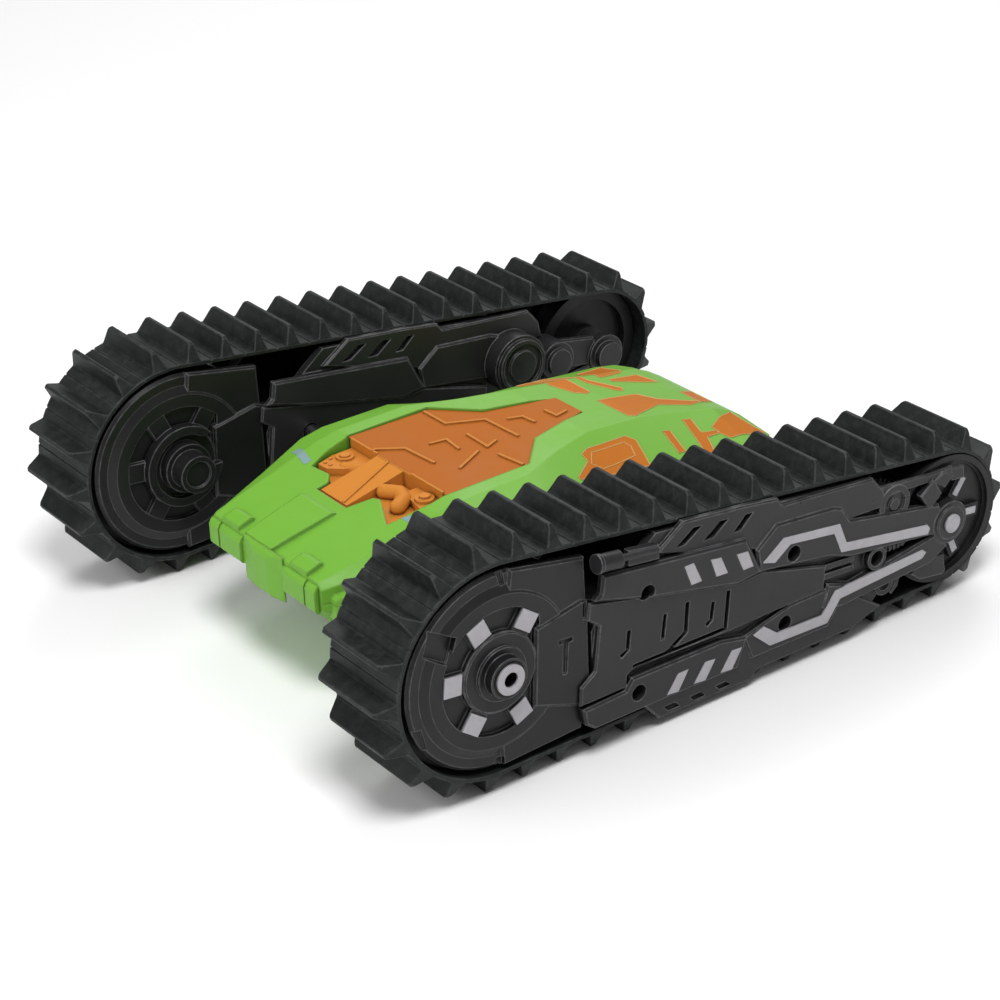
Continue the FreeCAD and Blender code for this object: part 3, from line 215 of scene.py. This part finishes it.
MATS = {
    "hull_green": surface("hull_green", (0.153, 0.388, 0.036), 0.44, vary=0.05, grain=0.06, edge_wear_and_highlight=0.20,
                          worn_and_highlight_colour=(0.34, 0.56, 0.16), edge=1.3, spec=0.22),
    # Raised ridges above z 61.55 mm get a lighter orange as painted highlight; the inlay beyond x 50.4 mm is
    # lighter too.
    "inlay_orange": surface("inlay_orange", (0.40, 0.115, 0.014), 0.5, vary=0.07, grain=0.08, edge_wear_and_highlight=0.45,
                            worn_and_highlight_colour=(0.70, 0.33, 0.11), spec=0.06,
                            zones=((2, 61.55, (0.52, 0.19, 0.035)), (0, 50.4, (0.56, 0.205, 0.032)))),
    "camo_orange": surface("camo_orange", (0.47, 0.145, 0.016), 0.5, vary=0.14, grain=0.06, edge_wear_and_highlight=0.5,
                           worn_and_highlight_colour=(0.76, 0.44, 0.18), spec=0.07),
    "camo_rim": surface("camo_rim", (0.56, 0.33, 0.12), 0.5, vary=0.05, grain=0.04, edge_wear_and_highlight=0.2, spec=0.15),
    "label_grey": surface("label_grey", (0.20, 0.31, 0.32), 0.4, vary=0.1, spec=0.2),
    "cover_black": surface("cover_black", (0.0185, 0.018, 0.0195), 0.40, vary=0.25, rough_vary=0.12,
                           grain=0.16, edge_wear_and_highlight=1.0, worn_and_highlight_colour=(0.21, 0.21, 0.215), edge=0.65, spec=0.30, corner_shade=0.9),
    # Darker copy of cover_black for the arms' covers: painted shade.
    "arm_shaded_black": surface("arm_shaded_black", (0.0105, 0.0105, 0.0115), 0.38, vary=0.25, rough_vary=0.12, grain=0.16,
                         edge_wear_and_highlight=1.0, worn_and_highlight_colour=(0.18, 0.18, 0.185), edge=0.65, spec=0.28, corner_shade=0.9),
    "trim_silver": surface("trim_silver", (0.37, 0.36, 0.38), 0.42, metallic=0.25, vary=0.14, grain=0.5,
                           grain_scale=4200, edge_wear_and_highlight=0.5, worn_and_highlight_colour=(0.60, 0.59, 0.61), spec=0.4, mottle=0.12),
    "belt_rubber": surface("belt_rubber", (0.012, 0.0138, 0.0138), 0.55, vary=0.3, rough_vary=0.14,
                           grain=0.35, grain_scale=1900, edge_wear_and_highlight=0.9, worn_and_highlight_colour=(0.085, 0.09, 0.09), mottle=0.45,
                           edge=0.4, spec=0.22),
    "wheel_plastic": surface("wheel_plastic", (0.011, 0.011, 0.012), 0.45, vary=0.18, spec=0.25),
    "gear_nylon": surface("gear_nylon", (0.018, 0.018, 0.019), 0.42, spec=0.3),
    "steel_pin": surface("steel_pin", (0.42, 0.42, 0.44), 0.32, metallic=1.0, grain=0.2),
    "motor_can": surface("motor_can", (0.40, 0.40, 0.42), 0.34, metallic=1.0, grain=0.2),
    "screw_black": surface("screw_black", (0.012, 0.012, 0.012), 0.40, metallic=0.3, spec=0.3),
    "board_green": surface("board_green", (0.02, 0.14, 0.06), 0.35),
    "cell_wrap": surface("cell_wrap", (0.05, 0.10, 0.34), 0.30),
    "switch_white": surface("switch_white", (0.50, 0.50, 0.50), 0.42),
    "tube_black": surface("tube_black", (0.018, 0.018, 0.020), 0.45, spec=0.3),
}


def dress_cad_nodes():
    """Gives every CAD node the material of its slot. The arms' covers get a darker copy of the cover
    material, as painted shade.
    """
    for part in frame["record"]["subparts"]:
        obj = frame["nodes"][part["node"]]
        obj.data.materials.clear()
        slot = part["material_slot"]
        if slot == "cover_black" and "_arm_" in part["node"]:
            slot = "arm_shaded_black"
        obj.data.materials.append(MATS[slot])


# ---- belts ----
LEAN = math.asin((FRONT[2] - REAR[2]) / math.hypot(WHEEL_BASE, FRONT[1] - REAR[1]))
TOP_ANGLE = math.pi / 2 + 2 * LEAN
REAR_ARC = REAR[2] * (math.pi - 2 * LEAN)
LOOP = 2 * WHEEL_BASE + REAR_ARC + FRONT[2] * (math.pi + 2 * LEAN)
PITCH = LOOP / LUG_COUNT
ARC_START = WHEEL_BASE + REAR_ARC


def on_path(s):
    """Point on the belt's surface at distance s, with the outward normal and the way along."""
    s = s % LOOP
    if s < WHEEL_BASE:
        hub, a, run = FRONT, TOP_ANGLE, s
    elif s < ARC_START:
        hub, a, run = REAR, TOP_ANGLE + (s - WHEEL_BASE) / REAR[2], 0.0
    elif s < ARC_START + WHEEL_BASE:
        hub, a, run = REAR, 3 * math.pi / 2, s - ARC_START
    else:
        hub, a, run = FRONT, 3 * math.pi / 2 + (s - ARC_START - WHEEL_BASE) / FRONT[2], 0.0
    n = Vector((math.cos(a), 0, math.sin(a)))
    t = Vector((-n.z, 0, n.x))
    return Vector((hub[0], 0, hub[1])) + n * hub[2] + t * run, n, t


def belt_band(name, phase):
    """The belt itself, with a crease across it half-way between lugs."""
    rib = -BELT_THICK - GUIDE_HEIGHT
    section = [(BELT_IN + 0.3, 0.0), (BELT_OUT - 0.3, 0.0), (BELT_OUT, -0.3), (BELT_OUT, -BELT_THICK + 0.2),
               (BELT_OUT - 0.2, -BELT_THICK), (GUIDE_OUT, -BELT_THICK), (GUIDE_OUT - 0.3, rib),
               (GUIDE_IN + 0.3, rib), (GUIDE_IN, -BELT_THICK), (BELT_IN + 0.2, -BELT_THICK),
               (BELT_IN, -BELT_THICK + 0.2), (BELT_IN, -0.3)]
    # share of the pitch, and how deep the outer face lies there
    steps = [(0.0, 0.0), (0.30, 0.0), (0.465, 0.0), (0.49, -CREASE_DEPTH), (0.51, -CREASE_DEPTH),
             (0.535, 0.0), (0.70, 0.0), (0.85, 0.0)]
    points, faces = [], []
    for k in range(LUG_COUNT):
        for share, dip in steps:
            p, n, t = on_path(phase + (k + share) * PITCH)
            for y, off in section:
                off = off + dip if off > -0.5 else off
                points.append(p + n * off + Vector((0, y, 0)))
    rows, width = LUG_COUNT * len(steps), len(section)
    for r in range(rows):
        for c in range(width):
            a, b = r * width + c, r * width + (c + 1) % width
            d = (r + 1) % rows
            faces.append((a, b, d * width + (c + 1) % width, d * width + c))
    return mesh_object(name, points, faces, MATS["belt_rubber"])


def one_lug():
    """A blade of the tread about its own foot: across the belt in y, along it in x, height in z."""
    # height, half thickness, and how far the ends lean in
    rows = [(-0.3, 3.3, 0.05), (0.5, 2.75, 0.35), (LUG_HEIGHT - 1.1, 1.05, 2.6), (LUG_HEIGHT, 0.8, 3.8)]
    points, faces = [], []
    for z, half, inset in rows:
        near, far = BELT_IN + inset, BELT_OUT - inset
        points += [(-half, near, z), (half, near, z), (half, far, z), (-half, far, z)]
    for r in range(len(rows) - 1):
        for c in range(4):
            a, b = r * 4 + c, r * 4 + (c + 1) % 4
            faces.append((a, b, b + 4, a + 4))
    top = 4 * (len(rows) - 1)
    faces += [(3, 2, 1, 0), (top, top + 1, top + 2, top + 3)]
    lug = mesh_object("lug", points, faces, MATS["belt_rubber"])
    bevel_sharp(lug, 0.25, 1, 40)
    made = ([v.co / MM for v in lug.data.vertices], [tuple(p.vertices) for p in lug.data.polygons])
    bpy.data.objects.remove(lug)
    return made


def belt(side, sign, lug_points, lug_faces):
    """One loop of belt with its lugs."""
    phase = LUG_PHASE[side]
    band = belt_band(side + "_belt_band", phase)
    points, faces = [], []
    for k in range(LUG_COUNT):
        p, n, t = on_path(phase + k * PITCH)
        base = len(points)
        points += [p + t * q.x + n * q.z + Vector((0, q.y, 0)) for q in lug_points]
        faces += [tuple(base + i for i in f) for f in lug_faces]
    lugs = mesh_object(side + "_belt_lugs", points, faces, MATS["belt_rubber"])
    for obj in (band, lugs):
        if sign < 0:
            obj.data.transform(Matrix.Scale(-1, 4, Vector((0, 1, 0))))
            obj.data.flip_normals()
        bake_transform(obj)
    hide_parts(side + "_belt_rear", side + "_belt_front", side + "_belt_flex")


# ---- paint patches that lie on the hull ----
def hull_tree():
    """The hull's faces, for finding points on them."""
    points, faces = [], []
    for name in ("hull_upper_shell", "hull_lower_tub"):
        mesh = frame["nodes"][name].data
        base = len(points)
        points += [v.co.copy() for v in mesh.vertices]
        faces += [[base + i for i in p.vertices] for p in mesh.polygons]
    return BVHTree.FromPolygons(points, faces)


def resample(outline, step):
    """Points every step or so along a closed outline, corners kept."""
    made = []
    for a, b in zip(outline, outline[1:] + outline[:1]):
        a, b = Vector(a), Vector(b)
        count = max(1, round((b - a).length / step))
        made += [a.lerp(b, k / count) for k in range(count)]
    return made


def inside(p, outline):
    """Whether p lies within the outline."""
    odd = False
    for a, b in zip(outline, outline[1:] + outline[:1]):
        if (a.y > p.y) != (b.y > p.y) and p.x < (b.x - a.x) * (p.y - a.y) / (b.y - a.y) + a.x:
            odd = not odd
    return odd


def on_hull(tree, p, lift):
    """The point of the hull under p, raised by lift. Millimetres."""
    hit, normal, _, _ = tree.ray_cast(Vector((p.x, p.y, OVER_HULL)) * MM, Vector((0, 0, -1)))
    if hit is None:
        hit, normal, _, _ = tree.find_nearest(Vector((p.x, p.y, MID_HULL)) * MM)
    if normal.z < 0:
        normal = -normal
    return hit / MM + normal * lift


def drape(tree, outline, lift, step=1.4):
    """Skin over an outline given in X and Y, lying on the hull, with a skirt round it."""
    rim = resample(outline, step)
    xs, ys = [p.x for p in rim], [p.y for p in rim]
    grid = []
    for i in range(int((max(xs) - min(xs)) / step) + 1):
        for j in range(int((max(ys) - min(ys)) / step) + 1):
            p = Vector((min(xs) + (i + 0.5) * step, min(ys) + (j + 0.5) * step))
            if inside(p, rim) and min((p - q).length for q in rim) > 0.5 * step:
                grid.append(p)
    edges = [(k, (k + 1) % len(rim)) for k in range(len(rim))]
    flat, _, faces, _, _, _ = delaunay_2d_cdt(rim + grid, edges, [], 1, 1e-6)
    points = [on_hull(tree, p, lift) for p in flat]
    faces = [tuple(f) for f in faces]
    sides = [side for f in faces for side in zip(f, f[1:] + f[:1])]
    shared = set(sides)
    for a, b in sides:
        if (b, a) not in shared:
            base = len(points)
            points += [on_hull(tree, flat[b], -SKIRT_DEPTH), on_hull(tree, flat[a], -SKIRT_DEPTH)]
            faces.append((b, a, base + 1, base))
    return points, faces


def bead(tree, outline, lift, width=0.42, height=0.18):
    """A thin raised line just inside the outline."""
    rim = resample(outline, 1.2)
    area = sum(a.x * b.y - b.x * a.y for a, b in zip(rim, rim[1:] + rim[:1]))
    turn = 1 if area > 0 else -1
    points, faces = [], []
    count = len(rim)
    for k, p in enumerate(rim):
        along = (rim[(k + 1) % count] - rim[k - 1]).normalized()
        inward = Vector((-along.y, along.x)) * turn
        for offset, up in ((0.0, 0.0), (0.2 * width, height), (0.6 * width, height), (width, 0.0)):
            points.append(on_hull(tree, p + inward * offset, lift + up))
    for k in range(count):
        for c in range(3):
            a, b = k * 4 + c, ((k + 1) % count) * 4 + c
            faces.append((a, b, b + 1, a + 1) if turn < 0 else (a, a + 1, b + 1, b))
    return points, faces


def gather(parts):
    """Several sets of points and faces as one."""
    points, faces = [], []
    for some_points, some_faces in parts:
        base = len(points)
        points += some_points
        faces += [tuple(base + i for i in f) for f in some_faces]
    return points, faces


# outlines in x and y, in millimetres
CAMO = {
    "side": [(-8, 33), (-12, 31), (-31.5, 29), (-34.5, 32), (-33, 38.5), (-31.5, 44), (1, 44),
             (1, 42.5), (-8, 36.5)],
    "arrow": [(-40.5, 1.5), (-59.5, 1), (-64.5, 8.5), (-75.5, 14.5), (-81, 16), (-72.5, 18.5), (-60, 14),
              (-43.5, 21), (-41, 19.5), (-40.5, 7.5)],
    "dash": [(-48, 30.5), (-51.5, 31), (-50, 42), (-46.5, 42)],
    "wye": [(-60.5, 27), (-64.5, 27.5), (-63.5, 35), (-71, 35.5), (-70, 37.5), (-64, 38), (-61, 46),
            (-56.5, 46), (-58.5, 38)],
    "rear": [(-85.5, 25.5), (-91, 39.5), (-87, 42), (-80, 40.5), (-73, 41), (-70.5, 38), (-69.5, 33.5),
             (-76.5, 29.5)],
    "stripe_a": [(-39, -48), (-45, -48), (-44, -7), (-41.5, -6), (-38, -9), (-34.5, -19.5),
                 (-34, -38.5)],
    "stripe_b": [(-53, -48), (-51.5, -19), (-59, -6.5), (-57.5, -3.5), (-55, -4.5), (-49, -15.5),
                 (-47, -48)],
    "far_a": [(-61.5, -38.5), (-77.5, -43), (-72.5, -23.5), (-70, -21), (-58.5, -19), (-57.5, -30)],
    "far_b": [(-60.5, -16.5), (-75, -17.5), (-78, -7.5), (-72, -9), (-60, -14)],
    "far_c": [(-88, 1), (-86.5, 14), (-78, 17), (-78, 13), (-79, 4)],
}
SCOOP = [(-12.5, 33), (-29, 31.5), (-30.5, 34), (-29, 38.5), (-12, 41), (-8.5, 38)]
LABELS = ([(65, -41.5), (68, -42.5), (71, -29.5), (68, -29)],
          [(69, 29.5), (66.5, 30.5), (65, 40.5), (68.5, 40)])


def hull_paint():
    """Camouflage patches with their fine outlines, and two plain label patches."""
    tree = hull_tree()
    skins = gather([drape(tree, o, PAINT_LIFT) for o in CAMO.values()])
    lines = gather([bead(tree, o, PAINT_LIFT) for o in [*CAMO.values(), SCOOP]])
    plain = gather([drape(tree, o, LABEL_LIFT) for o in LABELS])
    patches = mesh_object("camo_patches", *skins, MATS["camo_orange"])
    rims = mesh_object("camo_rims", *lines, MATS["camo_rim"])
    labels = mesh_object("label_patches", *plain, MATS["label_grey"])
    for obj, slot in ((patches, "inlay_orange"), (rims, "inlay_orange"), (labels, "hull_green")):
        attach(obj, "chassis")


# ---- scene ----
def studio():
    """Pale floor and soft lights."""
    world = bpy.data.worlds.new("world")
    bpy.context.scene.world = world
    world.use_nodes = True
    background = world.node_tree.nodes["Background"]
    background.inputs[0].default_value = (1.0, 1.0, 1.0, 1)
    background.inputs[1].default_value = 0.31
    bpy.context.scene.view_settings.view_transform = "Standard"
    bpy.ops.mesh.primitive_plane_add(size=12, location=(0, 0, -0.0002))
    floor = bpy.context.object
    floor.name = "floor"
    m = bpy.data.materials.new("floor_white")
    m.use_nodes = True
    shader = m.node_tree.nodes["Principled BSDF"]
    shader.inputs["Base Color"].default_value = (0.93, 0.93, 0.93, 1)
    shader.inputs["Roughness"].default_value = 0.8
    floor.data.materials.append(m)
    area_light("key", (0.3, 0.62, 1.5), 0.55, 19)
    area_light("side", (1.3, -0.3, 0.9), 0.8, 7)
    area_light("back", (-1.0, -0.9, 1.2), 1.0, 11)


def area_light(name, place, size, power):
    """Square light, in metres and watts, that faces the model."""
    data = bpy.data.lights.new(name, "AREA")
    data.size = size
    data.energy = power
    obj = bpy.data.objects.new(name, data)
    bpy.context.scene.collection.objects.link(obj)
    obj.location = place
    obj.rotation_euler = (Vector((0, 0, 0.04)) - Vector(place)).to_track_quat("-Z", "Y").to_euler()


def camera():
    """Camera given by its turn round the model, its height angle and its roll, in degrees."""
    az, el, roll = (math.radians(a) for a in (144.31, 27.06, -2.30))
    back = Vector((math.sin(az) * math.cos(el), -math.cos(az) * math.cos(el), math.sin(el)))
    right = Vector((math.cos(az), math.sin(az), 0))
    up = back.cross(right)
    turned_right = right * math.cos(roll) + up * math.sin(roll)
    turned_up = up * math.cos(roll) - right * math.sin(roll)
    data = bpy.data.cameras.new("camera")
    data.sensor_width = 36.0
    data.lens = 95.65
    data.clip_start = 0.05
    data.clip_end = 20.0
    obj = bpy.data.objects.new("camera", data)
    bpy.context.scene.collection.objects.link(obj)
    basis = Matrix((turned_right, turned_up, back)).transposed().to_4x4()
    obj.matrix_world = Matrix.Translation(Vector((0.5193, 0.7157, 0.4824))) @ basis
    bpy.context.scene.camera = obj


dress_cad_nodes()
lug_points, lug_faces = one_lug()
for side, sign in SIDES:
    belt(side, sign, lug_points, lug_faces)
hull_paint()
studio()
camera()
bpy.context.view_layer.update()
